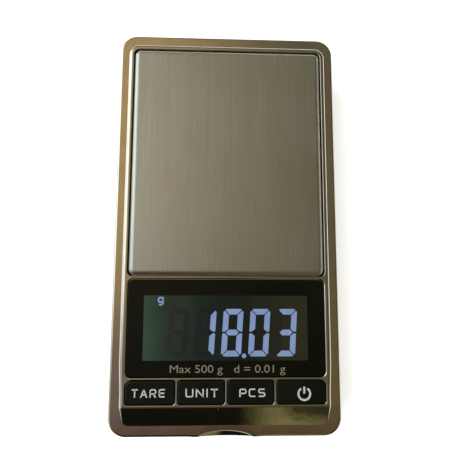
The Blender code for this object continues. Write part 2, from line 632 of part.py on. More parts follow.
def build_load_cell(asm):
    beam = box("load_cell", (-BEAM_W / 2, BEAM_W / 2), (BEAM_Y - BEAM_L / 2, BEAM_Y + BEAM_L / 2), BEAM_Z)
    asm.add(beam, "aluminium")
    mid_z = sum(BEAM_Z) / 2
    half = BEAM_HOLE_SPAN / 2
    cuts = [cylinder(f"beam_hole_{i}", (0, BEAM_Y + side * half, mid_z), BEAM_HOLE_R, 2 * BEAM_W, "X", 32)
            for i, side in enumerate((-1, 1))]
    cuts.append(box("beam_slot", (-BEAM_W, BEAM_W), (BEAM_Y - half, BEAM_Y + half),
                    (mid_z - 0.8 * MM, mid_z + 0.8 * MM)))
    for i, y in enumerate(FIXED_HOLES + FREE_HOLES):
        cuts.append(post(f"beam_bore_{i}", 0, y, BEAM_SCREW[2] + CLEAR, (BEAM_Z[0] - MM, BEAM_Z[1] + MM), 16))
    asm.cut(beam, cuts)
    film = 0.15 * MM
    number = 1
    for z in (BEAM_Z[1] + 0.1 * MM, BEAM_Z[0] - 0.1 * MM - film):
        for side in (-1, 1):
            y = BEAM_Y + side * half
            asm.add(box(f"strain_gauge_{number}", (-2 * MM, 2 * MM), (y - 2.5 * MM, y + 2.5 * MM),
                        (z, z + film)), "foil_orange")
            number += 1
    for i, y in enumerate(FIXED_HOLES):
        add_screw(asm, f"load_cell_screw_{i + 1}", (0, y), BEAM_Z[1] + CLEAR, 2.0 * MM, BEAM_SCREW)
    for i, y in enumerate(FREE_HOLES):
        add_screw(asm, f"carrier_screw_{i + 1}", (0, y), 13.5 * MM, 6.0 * MM, BEAM_SCREW)
    asm.add(post("overload_stop_screw", 0, FREE_HOLES[1], 1.5 * MM, (1.2 * MM, BEAM_Z[0] - CLEAR), 16),
            "zinc_steel")


def add_screw(asm, name, place, head_z, tip_z, size, head_down=False):
    """Screw whose head's inner face is at head_z and whose shank ends at tip_z."""
    head_r, head_h, shank_r = size
    sign = -1 if head_down else 1
    rise = sign * head_h
    profile = [(0, rise), (head_r * 0.8, rise), (head_r, rise * 0.6), (head_r, 0),
               (shank_r, 0), (shank_r, tip_z - head_z), (0, tip_z - head_z)]
    if head_down:
        profile.reverse()
    screw = turned(name, profile, 16)
    screw.location = (place[0], place[1], head_z)
    asm.add(screw, "zinc_steel")


def build_wires(asm):
    names = ("red", "black", "white", "green")
    radius = 0.3 * MM
    for i, name in enumerate(names):
        x = (i - 1.5) * 1.3 * MM
        curve = bpy.data.curves.new("signal_wire_" + name, "CURVE")
        curve.dimensions = "3D"
        curve.bevel_depth = radius
        curve.bevel_resolution = 1
        curve.use_fill_caps = True
        spline = curve.splines.new("POLY")
        start = Vector((x, BEAM_Y - 7.2 * MM, BEAM_Z[1] + CLEAR + radius))
        end = Vector((x * 3, BOARD_BACK - 0.6 * MM, BOARD_Z[0] - CLEAR - 0.05 * MM))
        steps = 14
        spline.points.add(steps)
        for j, point in enumerate(spline.points):
            t = j / steps
            rise = t * t * (3 - 2 * t)
            sideways = start.x + (end.x - start.x) * rise + 4.4 * MM * sin(pi * t) * (1 if x > 0 else -1)
            height = start.z + (end.z - start.z) * rise
            point.co = (sideways, start.y + (end.y - start.y) * t, height, 1)
        asm.add(bpy.data.objects.new("signal_wire_" + name, curve), "wire_" + name)


def build_feet_and_screws(asm):
    for sx, sy in CORNER_SIDES:
        name, x, y = corner_name(sx, sy), sx * CORNER.x, sy * CORNER.y
        foot = post("foot_" + name, x, y, FOOT_R, (0, FOOT_T), 32)
        round_edges(foot, 0, 0.3 * MM, 2)
        asm.add(foot, "rubber")
        add_screw(asm, "case_screw_" + name, (x, y), 3.5 * MM, 14.2 * MM, CASE_SCREW, head_down=True)


def main():
    clear_scene()
    asm = Assembly("gram_scale")
    build_lower_case(asm)
    build_upper_case(asm)
    build_platform(asm)
    build_window(asm)
    build_display(asm)
    build_board(asm)
    build_keys(asm)
    build_battery_bay(asm)
    build_load_cell(asm)
    build_wires(asm)
    build_feet_and_screws(asm)


main()
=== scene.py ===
from math import cos, exp, pi, radians, sin

import bmesh
import bpy
from mathutils import Matrix, Vector


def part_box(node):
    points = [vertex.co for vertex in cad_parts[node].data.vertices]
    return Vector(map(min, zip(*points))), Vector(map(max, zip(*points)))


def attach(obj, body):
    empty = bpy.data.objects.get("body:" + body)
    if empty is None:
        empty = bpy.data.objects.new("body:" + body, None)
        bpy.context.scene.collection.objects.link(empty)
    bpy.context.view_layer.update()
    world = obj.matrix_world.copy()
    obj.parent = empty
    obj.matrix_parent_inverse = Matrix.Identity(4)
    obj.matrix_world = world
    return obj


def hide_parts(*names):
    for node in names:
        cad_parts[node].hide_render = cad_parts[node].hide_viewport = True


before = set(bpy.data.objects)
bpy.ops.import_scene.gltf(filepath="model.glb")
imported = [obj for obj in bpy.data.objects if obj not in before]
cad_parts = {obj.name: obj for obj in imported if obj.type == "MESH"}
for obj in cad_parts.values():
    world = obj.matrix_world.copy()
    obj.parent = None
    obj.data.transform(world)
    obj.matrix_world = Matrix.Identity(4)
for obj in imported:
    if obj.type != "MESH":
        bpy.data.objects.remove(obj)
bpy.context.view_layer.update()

MM = 0.001

# ---------------------------------------------------------------- sizes, read from the frame
SHELL_LOW, SHELL_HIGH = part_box("upper_case")
PAN_LOW, PAN_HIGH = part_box("weighing_platform")
LENS_LOW, LENS_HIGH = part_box("display_window")
KEY_NAMES = ("tare", "unit", "count", "power")
KEY_BOXES = {name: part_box(name + "_key") for name in KEY_NAMES}

HALF_W, HALF_L = SHELL_HIGH.x, SHELL_HIGH.y
CASE_R = 5.0 * MM
FRAME_Z = SHELL_HIGH.z                   # raised frame
BAND_Z = FRAME_Z - 1.4 * MM              # flat band round the edge
EDGE_R = 0.8 * MM
FRAME_HALF_W = HALF_W - 2.8 * MM
FRAME_FRONT = -HALF_L + 3.15 * MM
FRAME_BACK = HALF_L - 3.5 * MM
FRAME_R = 3.0 * MM
FRAME_FRONT_R = 1.9 * MM
SHOULDER = 1.22 * MM                     # width of the raised frame's rounded side
SHOULDER_FULLNESS = 2.5                  # 2 is a quarter ellipse, more is flatter on top
FRONT_TAPER = 0.35 * MM                  # how much each side of the frame draws in beside the keys
APRON_TOP = -49.6 * MM
APRON_STEP = 0.15 * MM
CREST_R = 0.3 * MM
RECESS_GAP = 0.20 * MM
PAN_HOLE_R, PAN_HOLE_EDGE = 1.8 * MM, 0.16 * MM
LENS_HOLE_R, LENS_HOLE_EDGE = 1.6 * MM, 0.36 * MM
KEY_HOLE_R, KEY_HOLE_OUTER_R, KEY_HOLE_EDGE = 1.0 * MM, 2.1 * MM, 0.20 * MM
KEY_R, KEY_OUTER_R, KEY_EDGE = 0.85 * MM, 1.95 * MM, 0.38 * MM
KEY_FRONT = -48.85 * MM
KEY_GAP = 0.15 * MM
PAN_REACH = 0.4 * MM                     # the platform's front edge comes this much nearer the window
RECESS_Z = 16.2 * MM
CAVITY_Z = 15.0 * MM
LEDGE_Z = LENS_LOW.z - 0.3 * MM
LEDGE_UNDER_Z = LEDGE_Z - 1.2 * MM
LENS_GAP = 0.15 * MM
WALL = 1.8 * MM
SUPPORT = 0.03 * MM                      # strip beside a fillet that keeps flat faces flat in shading
WALL_FOOT_EDGE = 0.2 * MM                # bevel on the lower rim of the shell
WALL_STEPS = (16.0 * MM, 16.3 * MM)      # two rings on the side wall, below its rounded edge
FRAME_FOOT_R = 0.10 * MM                 # small hollow where the raised frame meets the band
CARRIER_HOLE = (-9 * MM, 9 * MM, 27 * MM, 44 * MM)
BOARD_ROOM_Y = (-53.2 * MM, -16.2 * MM)  # room for the circuit board under the window and keys
LENS_ROOM = (-26 * MM, 26 * MM, -40.9 * MM, -16.6 * MM)
POST_R, POST_BORE_R = 3.1 * MM, 1.3 * MM
CORNER_STEPS = 12
HOLE_EDGE_STEPS = 5
SHOULDER_STEPS = 14
NOTCH_HALF = 7.2 * MM
# Finger notch, cut through its middle, outside to inside, in mm:
# (distance in from the front, depth below the band)
NOTCH_SECTION = [(0.0, 1.45), (0.02, 1.31), (0.08, 1.20), (0.20, 1.13), (0.45, 1.07),
                 (0.80, 1.00), (1.15, 0.91), (1.45, 0.78), (1.66, 0.60), (1.78, 0.40),
                 (1.84, 0.21), (1.89, 0.08), (1.97, 0.01)]
NOTCH_END = (2.05, 0.0)                  # where the notch runs out on the band

PRINT_T = 0.03 * MM                      # thickness of printed lettering
READOUT_T = 0.03 * MM
FIELD_BOX = (-22.9 * MM, 22.65 * MM, -37.35 * MM, -19.75 * MM)    # display area under the lens: x, x, y, y
FIELD_T = 0.012 * MM


# ---------------------------------------------------------------- material helpers
class Finish:
    """A Principled material with its nodes built in a readable order."""

    def __init__(self, name, colour, metallic=0.0, roughness=0.5, **sockets):
        self.mat = bpy.data.materials.new(name)
        self.mat.use_nodes = True
        self.tree = self.mat.node_tree
        self.shader = self.tree.nodes["Principled BSDF"]
        self.put("Base Color", (*colour, 1))
        self.put("Metallic", metallic)
        self.put("Roughness", roughness)
        for socket, value in sockets.items():
            self.put(socket.replace("_", " "), value)
        self.coords = self.tree.nodes.new("ShaderNodeTexCoord").outputs["Object"]

    def put(self, socket, value):
        self.shader.inputs[socket].default_value = value

    def link(self, out, into):
        self.tree.links.new(out, into)
        return out

    def mapped(self, scale, turn=0.0, offset=(0, 0, 0)):
        node = self.tree.nodes.new("ShaderNodeMapping")
        node.inputs["Scale"].default_value = scale
        node.inputs["Rotation"].default_value = (0, 0, turn)
        node.inputs["Location"].default_value = offset
        self.link(self.coords, node.inputs["Vector"])
        return node.outputs["Vector"]

    def noise(self, scale, detail=3.0, rough=0.5, vector=None):
        node = self.tree.nodes.new("ShaderNodeTexNoise")
        node.inputs["Scale"].default_value = scale
        node.inputs["Detail"].default_value = detail
        node.inputs["Roughness"].default_value = rough
        self.link(vector or self.coords, node.inputs["Vector"])
        return node.outputs["Fac"]

    def cracks(self, scale, vector):
        """Distance to the nearest line of an irregular net."""
        node = self.tree.nodes.new("ShaderNodeTexVoronoi")
        node.feature = "DISTANCE_TO_EDGE"
        node.inputs["Scale"].default_value = scale
        self.link(vector, node.inputs["Vector"])
        return node.outputs["Distance"]

    def span(self, value, from_low, from_high, to_low, to_high):
        node = self.tree.nodes.new("ShaderNodeMapRange")
        for name, number in (("From Min", from_low), ("From Max", from_high),
                             ("To Min", to_low), ("To Max", to_high)):
            node.inputs[name].default_value = number
        self.link(value, node.inputs["Value"])
        return node.outputs["Result"]

    def math(self, operation, a, b):
        node = self.tree.nodes.new("ShaderNodeMath")
        node.operation = operation
        for socket, value in zip(node.inputs, (a, b)):
            if isinstance(value, (int, float)):
                socket.default_value = value
            else:
                self.link(value, socket)
        return node.outputs[0]

    def blend(self, factor, low, high):
        node = self.tree.nodes.new("ShaderNodeMix")
        node.data_type = "RGBA"
        self.link(factor, node.inputs[0])
        for socket, value in ((node.inputs[6], low), (node.inputs[7], high)):
            if isinstance(value, tuple):
                socket.default_value = (*value, 1)
            else:
                self.link(value, socket)
        return node.outputs[2]

    def ramp(self, factor, stops):
        node = self.tree.nodes.new("ShaderNodeValToRGB")
        while len(node.color_ramp.elements) < len(stops):
            node.color_ramp.elements.new(0.5)
        for element, (position, colour) in zip(node.color_ramp.elements, stops):
            element.position = position
            element.color = (*colour, 1)
        self.link(factor, node.inputs["Fac"])
        return node.outputs["Color"]

    def colour(self, out):
        self.link(out, self.shader.inputs["Base Color"])

    def roughness(self, out):
        self.link(out, self.shader.inputs["Roughness"])

    def glow(self, tint, strength):
        """The same tint as surface colour and as emission."""
        self.colour(tint)
        self.link(tint, self.shader.inputs["Emission Color"])
        self.put("Emission Strength", strength)

    def bump(self, height, distance, strength=1.0):
        node = self.tree.nodes.new("ShaderNodeBump")
        node.inputs["Strength"].default_value = strength
        node.inputs["Distance"].default_value = distance
        self.link(height, node.inputs["Height"])
        self.link(node.outputs["Normal"], self.shader.inputs["Normal"])


def chrome_plate():
    """Polished plating on a moulded shell: smudges, a few hairlines and a faint waviness."""
    f = Finish("chrome_plating", (0.80, 0.76, 0.70), metallic=1.0, roughness=0.06)
    smudge = f.noise(160, 4, 0.6)
    f.colour(f.blend(f.span(smudge, 0.35, 0.7, 0, 1), (0.83, 0.79, 0.73), (0.74, 0.70, 0.63)))
    hair = f.noise(900, 1, 0.4, f.mapped((1, 0.012, 1), radians(58)))
    hairline = f.span(hair, 0.70, 0.74, 0, 0.18)
    f.roughness(f.math("ADD", f.span(smudge, 0.4, 0.75, 0.035, 0.12), hairline))
    f.bump(f.noise(260, 2, 0.5), 0.00004, 0.5)
    return f.mat


def brushed_steel():
    """Stainless plate brushed along its length."""
    f = Finish("brushed_steel_plate", (0.60, 0.58, 0.52), metallic=1.0, roughness=0.34)
    grain = f.noise(9000, 4, 0.7, f.mapped((1, 0.010, 1)))
    broad = f.noise(2600, 3, 0.6, f.mapped((1, 0.006, 1)))
    cloud = f.noise(45, 3, 0.6)
    tone = f.math("ADD", f.math("MULTIPLY", grain, 0.6), f.math("MULTIPLY", broad, 0.4))
    fleck = f.span(f.noise(1900, 2, 0.5, f.mapped((1, 0.8, 1))), 0.735, 0.76, 0, 0.5)
    plate = f.blend(f.span(tone, 0.3, 0.7, 0, 1), (0.58, 0.595, 0.56), (0.82, 0.84, 0.80))
    f.colour(f.blend(fleck, plate, (0.16, 0.14, 0.10)))
    rough = f.math("ADD", f.span(grain, 0.3, 0.7, 0.36, 0.46), f.span(cloud, 0.3, 0.7, -0.03, 0.05))
    f.roughness(rough)
    f.bump(tone, 0.00002, 0.45)
    return f.mat


def moulded_black(name, colour, roughness, grain_scale, depth):
    """Black plastic with a fine moulded or satin surface."""
    f = Finish(name, colour, roughness=roughness, Specular_IOR_Level=0.3)
    speckle = f.noise(grain_scale, 3, 0.6)
    patch = f.noise(90, 3, 0.5)
    lighter = tuple(c * 1.6 + 0.001 for c in colour)
    f.colour(f.blend(f.span(patch, 0.3, 0.75, 0, 1), colour, lighter))
    f.roughness(f.math("ADD", f.span(speckle, 0.3, 0.7, roughness - 0.08, roughness + 0.08),
                       f.span(patch, 0.3, 0.7, -0.04, 0.05)))
    f.bump(speckle, depth, 0.6)
    return f.mat


def gloss_lens():
    """Tinted acrylic: near black, polished, with light wipe marks."""
    f = Finish("tinted_lens", (0.003, 0.003, 0.002), roughness=0.05, Specular_IOR_Level=0.3)
    haze = f.noise(70, 4, 0.6)
    f.colour(f.blend(f.span(haze, 0.35, 0.75, 0, 1),
                     (0.002, 0.003, 0.002), (0.0045, 0.0055, 0.0035)))
    wipe = f.noise(700, 1, 0.4, f.mapped((1, 0.02, 1), radians(25)))
    f.roughness(f.math("ADD", f.span(haze, 0.3, 0.8, 0.03, 0.11), f.span(wipe, 0.68, 0.73, 0, 0.12)))
    f.bump(f.noise(120, 2, 0.4), 0.00002, 0.3)
    return f.mat


# Glow of the display area from its left end to its right end
DISPLAY_SHADES = [(0.0, (0.019, 0.042, 0.028)), (0.13, (0.0145, 0.0220, 0.0155)),
                  (0.30, (0.0070, 0.0135, 0.0100)), (0.60, (0.0052, 0.0082, 0.0060)),
                  (0.90, (0.0145, 0.0155, 0.0085))]
DISPLAY_GLOW = 0.75


def across_display(f):
    """0 at the left end of the display area, 1 at its right end."""
    part = f.tree.nodes.new("ShaderNodeSeparateXYZ")
    f.link(f.coords, part.inputs[0])
    return f.span(part.outputs["X"], FIELD_BOX[0], FIELD_BOX[1], 0, 1)


def tinted_shades(red, green, blue):
    return [(x, (r * red, g * green, b * blue)) for x, (r, g, b) in DISPLAY_SHADES]


def display_field():
    """Dark display area: a greenish glow that fades from left to right, warmer in patches at the left."""
    f = Finish("display_field", (0.02, 0.03, 0.024), roughness=0.09, Specular_IOR_Level=0.3)
    across = across_display(f)
    cloud = f.noise(110, 3, 0.6)
    shade = f.ramp(across, DISPLAY_SHADES)
    dull = f.ramp(across, tinted_shades(0.78, 0.78, 0.78))
    tint = f.blend(f.span(cloud, 0.3, 0.7, 0, 1), dull, shade)
    patch = f.span(f.noise(80, 2, 0.5, f.mapped((1, 1, 1), 0, (0.013, 0.004, 0))), 0.54, 0.66, 0, 0.5)
    warm = f.math("MULTIPLY", patch, f.span(across, 0, 0.45, 1, 0))
    f.glow(f.blend(warm, tint, (0.024, 0.022, 0.014)), DISPLAY_GLOW)
    f.roughness(f.span(cloud, 0.3, 0.7, 0.06, 0.13))
    return f.mat


def lit_segment():
    """Backlit digits: periwinkle, a little uneven."""
    f = Finish("lit_digits", (0.20, 0.26, 0.55), roughness=0.25)
    uneven = f.noise(220, 3, 0.5)
    f.glow(f.blend(f.span(uneven, 0.3, 0.7, 0, 1), (0.124, 0.172, 0.310), (0.146, 0.195, 0.345)), 0.72)
    return f.mat


def display_ghost():
    """Segments that are switched off: a breath of purple over the display area."""
    f = Finish("unlit_digits", (0.010, 0.009, 0.0105), roughness=0.1, Specular_IOR_Level=0.3)
    across = across_display(f)
    purple = f.ramp(across, tinted_shades(1.05, 0.60, 1.10))
    shade = f.ramp(across, tinted_shades(0.86, 0.66, 0.86))
    f.glow(f.blend(f.span(f.noise(130, 2), 0.3, 0.7, 0, 1), purple, shade), DISPLAY_GLOW)
    return f.mat


def printed_ink(name, colour):
    """Screen-printed lettering, slightly worn."""
    f = Finish(name, colour, roughness=0.55)
    wear = f.noise(900, 4, 0.6)
    worn = tuple(c * 0.72 for c in colour)
    f.colour(f.blend(f.span(wear, 0.3, 0.62, 0, 1), worn, colour))
    f.bump(wear, 0.00001, 0.4)
    return f.mat


def soft_rubber():
    """Matte rubber with fine pores and a little dust."""
    f = Finish("foot_rubber", (0.018, 0.018, 0.018), roughness=0.8)
    pores = f.noise(2600, 4, 0.65)
    dust = f.span(f.noise(150, 3), 0.3, 0.7, 0, 1)
    f.colour(f.blend(dust, (0.014, 0.014, 0.014), (0.036, 0.034, 0.031)))
    f.roughness(f.span(pores, 0.3, 0.7, 0.7, 0.92))
    f.bump(pores, 0.00004, 0.7)
    return f.mat


def machined_metal(name, colour, roughness, turn=0.0):
    """Bare or plated metal with tool lines and light stains."""
    f = Finish(name, colour, metallic=1.0, roughness=roughness)
    lines = f.noise(2600, 2, 0.5, f.mapped((1, 0.05, 1), turn))
    stain = f.noise(220, 4, 0.6)
    dark = tuple(c * 0.72 for c in colour)
    f.colour(f.blend(f.span(stain, 0.35, 0.7, 0, 1), colour, dark))
    f.roughness(f.span(lines, 0.3, 0.7, roughness - 0.08, roughness + 0.12))
    f.bump(lines, 0.00002, 0.3)
    return f.mat


def circuit_laminate():
    """Green solder mask with copper tracks showing through as paler lines."""
    f = Finish("circuit_laminate", (0.01, 0.12, 0.05), roughness=0.35)
    tracks = f.cracks(420, f.mapped((1, 0.35, 1)))
    line = f.span(tracks, 0.02, 0.06, 1, 0)
    f.colour(f.blend(line, (0.008, 0.10, 0.040), (0.03, 0.22, 0.09)))
    f.roughness(f.span(f.noise(900, 2), 0.3, 0.7, 0.28, 0.45))
    f.bump(line, 0.00003, 0.5)
    return f.mat


def coated(name, colour, roughness=0.4, scale=600):
    """Plain coated or moulded stuff inside the case: soft mottling and a fine surface."""
    f = Finish(name, colour, roughness=roughness)
    mottle = f.noise(scale, 3, 0.55)
    dark = tuple(c * 0.8 for c in colour)
    f.colour(f.blend(f.span(mottle, 0.3, 0.7, 0, 1), dark, colour))
    f.roughness(f.span(mottle, 0.3, 0.7, roughness - 0.06, roughness + 0.1))
    f.bump(mottle, 0.00001, 0.4)
    return f.mat


def cell_label():
    """Green foil jacket of a battery cell."""
    f = Finish("cell_label", (0.05, 0.20, 0.09), metallic=0.2, roughness=0.32)
    fleck = f.noise(1400, 3, 0.6)
    f.colour(f.blend(f.span(fleck, 0.35, 0.65, 0, 1), (0.035, 0.16, 0.07), (0.06, 0.25, 0.11)))
    f.roughness(f.span(fleck, 0.3, 0.7, 0.25, 0.40))
    f.bump(fleck, 0.00001, 0.3)
    return f.mat


def pale_floor():
    f = Finish("studio_floor", (0.93, 0.93, 0.93), roughness=0.85)
    cloud = f.span(f.noise(6, 3), 0.3, 0.7, 0, 1)
    f.colour(f.blend(cloud, (0.92, 0.92, 0.92), (0.95, 0.95, 0.95)))
    f.put("Emission Color", (1, 1, 1, 1))
    f.put("Emission Strength", 0.72)
    return f.mat


CHROME = chrome_plate()
STEEL = brushed_steel()
LENS = gloss_lens()
FIELD = display_field()
LIT = lit_segment()
UNLIT = display_ghost()
KEY_BLACK = moulded_black("key_satin", (0.0035, 0.0042, 0.003), 0.30, 2600, 0.00001)
CASE_BLACK = moulded_black("case_texture", (0.018, 0.018, 0.019), 0.48, 1800, 0.00004)
RUBBER = soft_rubber()
KEY_INK = printed_ink("key_legend_ink", (0.58, 0.65, 0.70))
LINE_INK = printed_ink("window_legend_ink", (0.24, 0.215, 0.16))


# ---------------------------------------------------------------- mesh helpers
def outline(x0, x1, y0, y1, radii, z, side_ys=(), front_xs=()):
    """Ring of points round a rounded rectangle, anticlockwise from the front right corner.

    radii: front right, back right, back left, front left. side_ys and front_xs add points on the
    straight stretches of the sides and of the front.
    """
    centres = ((x1, y0, -1, 1, -90), (x1, y1, -1, -1, 0), (x0, y1, 1, -1, 90), (x0, y0, 1, 1, 180))
    extras = ([(x1, y) for y in side_ys], [], [(x0, y) for y in reversed(side_ys)],
              [(x, y0) for x in front_xs])
    ring = []
    for (cx, cy, sx, sy, start), radius, extra in zip(centres, radii, extras):
        for i in range(CORNER_STEPS + 1):
            a = radians(start + 90 * i / CORNER_STEPS)
            ring.append(Vector((cx + sx * radius + radius * cos(a),
                                cy + sy * radius + radius * sin(a), z)))
        ring += [Vector((x, y, z)) for x, y in extra]
    return ring


def circle(x, y, radius, z, steps=48):
    angles = [2 * pi * i / steps for i in range(steps)]
    return [Vector((x + radius * cos(a), y + radius * sin(a), z)) for a in angles]


def place(bm, points):
    return [bm.verts.new(p) for p in points]


def bridge(bm, rings):
    """Quads between each ring of vertices and the next."""
    for a, b in zip(rings, rings[1:]):
        n = len(a)
        for i in range(n):
            bm.faces.new((a[i], a[(i + 1) % n], b[(i + 1) % n], b[i]))


def fill(bm, loops):
    """Flat triangles between an outer loop of vertices and the loops inside it."""
    edges = []
    for loop in loops:
        for a, b in zip(loop, loop[1:] + loop[:1]):
            edges.append(bm.edges.get((a, b)) or bm.edges.new((a, b)))
    bmesh.ops.triangle_fill(bm, edges=edges, use_beauty=True, use_dissolve=False,
                            normal=(0, 0, 1))


def fillet(radius, steps):
    """(inward, drop) pairs of a quarter round, from the flat top to the side."""
    return [(radius * (1 - sin(pi / 2 * i / steps)), radius * (1 - cos(pi / 2 * i / steps)))
            for i in range(steps + 1)]


def piece(name, bm, material, body, replaces=()):
    """Turn a bmesh into a finished piece that rides on a body."""
    bmesh.ops.remove_doubles(bm, verts=bm.verts, dist=0.0000005)
    bmesh.ops.recalc_face_normals(bm, faces=bm.faces)
    mesh = bpy.data.meshes.new(name)
    bm.to_mesh(mesh)
    bm.free()
    mesh.shade_smooth()
    mesh.set_sharp_from_angle(angle=radians(38))
    mesh.materials.append(material)
    obj = bpy.data.objects.new(name, mesh)
    bpy.context.scene.collection.objects.link(obj)
    return settle(obj, body, replaces)


def settle(obj, body, replaces=()):
    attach(obj, body)
    if replaces:
        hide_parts(*replaces)
    return obj


def slab(bm, x0, x1, y0, y1, radii, z_low, z_high, edge, steps):
    """Rounded slab with a rounded upper edge."""
    def ring(inset, z):
        inset_radii = [max(r - inset, 0.05 * MM) for r in radii]
        return place(bm, outline(x0 + inset, x1 - inset, y0 + inset, y1 - inset, inset_radii, z))

    rings = [ring(0, z_low)]
    rings += [ring(i, z_high - d) for i, d in reversed(fillet(edge, steps))]
    rings.append(ring(edge + SUPPORT, z_high))
    bridge(bm, rings)
    bm.faces.new(rings[0])
    bm.faces.new(rings[-1])


# ---------------------------------------------------------------- upper case
def apron_height(y):
    """Height of the raised frame above the band: full behind the crest, falling to a small step in front."""
    full = FRAME_Z - BAND_Z
    slope = (full - APRON_STEP) / (APRON_TOP - FRAME_FRONT)
    past = APRON_TOP - y
    if past <= -CREST_R:
        return full
    if past < CREST_R:
        return full - slope * (past + CREST_R) ** 2 / (4 * CREST_R)
    return full - slope * past


def notch_share(x):
    """1 in the middle of the finger notch, 0 outside it."""
    u = x / NOTCH_HALF
    return (1 - u * u) ** 0.9 if abs(u) < 1 else 0.0


def notch_lip(x):
    """Slight swelling of the edge at each end of the notch."""
    u = (abs(x) / NOTCH_HALF - 1.16) / 0.17
    return 0.14 * MM * exp(-u * u)


CREST_YS = [APRON_TOP + CREST_R * t for t in (-1, -0.6, -0.2, 0.2, 0.6, 1)]
SIDE_YS = ([y * MM for y in (-52.3, -51.7, -51.1, -50.5)] + CREST_YS
           + [y * MM for y in (-48, -46.5, -45, -42, -38, -30, -15, 0, 15, 30, 45)])
FRONT_XS = [i * 0.4 * MM for i in range(-28, 29)]


def case_ring(inset, z, notch=None):
    """Ring round the case; notch gives the matching point of the notch section, if the ring crosses it."""
    ring = outline(-HALF_W + inset, HALF_W - inset, -HALF_L + inset, HALF_L - inset,
                   [CASE_R - inset] * 4, z, SIDE_YS, FRONT_XS)
    for p in ring:
        if notch and p.y < -HALF_L + inset + 0.01 * MM:
            share = notch_share(p.x)
            p.y += (notch[0] * MM - inset) * share
            p.z += (BAND_Z - notch[1] * MM - z) * share
            if abs(p.x) > NOTCH_HALF:
                p.y -= notch_lip(p.x) * min(1, (EDGE_R - inset) / EDGE_R + 0.3)
                p.y = max(p.y, -HALF_L)
    return ring


def frame_ring(inset, rise):
    """Ring on the side of the raised frame; rise is a share of its height there.

    Where the frame gets lower its side keeps its slope, so the foot draws in.
    """
    front_inset = inset * 0.2
    ring = outline(-FRAME_HALF_W + inset, FRAME_HALF_W - inset, FRAME_FRONT + front_inset,
                   FRAME_BACK - inset,
                   [r - inset * 0.8 for r in (FRAME_FRONT_R, FRAME_R, FRAME_R, FRAME_FRONT_R)],
                   0, SIDE_YS, FRONT_XS)
    for p in ring:
        height = apron_height(p.y)
        low = 1 - height / (FRAME_Z - BAND_Z)
        ahead = min(1, max(0, (-38 * MM - p.y) / (9 * MM)))
        draw_in = (SHOULDER - inset) * low + FRONT_TAPER * ahead * ahead * (3 - 2 * ahead)
        p.x *= 1 - draw_in / FRAME_HALF_W
        p.z = BAND_Z + rise * height
    return ring


def make_hole(bm, x0, x1, y0, y1, radii, edge, z_low):
    """Opening in the frame's flat top: over a rounded edge and down its wall. Returns its rings."""
    def ring(out, z):
        return place(bm, outline(x0 - out, x1 + out, y0 - out, y1 + out, [r + out for r in radii], z))

    rings = [ring(edge + SUPPORT, FRAME_Z)]
    rings += [ring(i, FRAME_Z - d) for i, d in fillet(edge, HOLE_EDGE_STEPS)]
    rings.append(ring(0, z_low))
    bridge(bm, rings)
    return rings


def key_opening(name):
    low, high = KEY_BOXES[name]
    return low.x - KEY_GAP, high.x + KEY_GAP, KEY_FRONT - KEY_GAP, high.y + KEY_GAP


def key_radii(name, corner, outer):
    """Corner radii of a key; the outer back corners of the first and last key are rounder."""
    back_right = outer if name == KEY_NAMES[-1] else corner
    back_left = outer if name == KEY_NAMES[0] else corner
    return [corner, back_right, back_left, corner]


def tube(bm, x, y, outer, inner, z_low, z_high):
    rings = [place(bm, circle(x, y, r, z, 24)) for r, z in
             ((inner, z_low), (outer, z_low), (outer, z_high), (inner, z_high))]
    bridge(bm, rings + rings[:1])


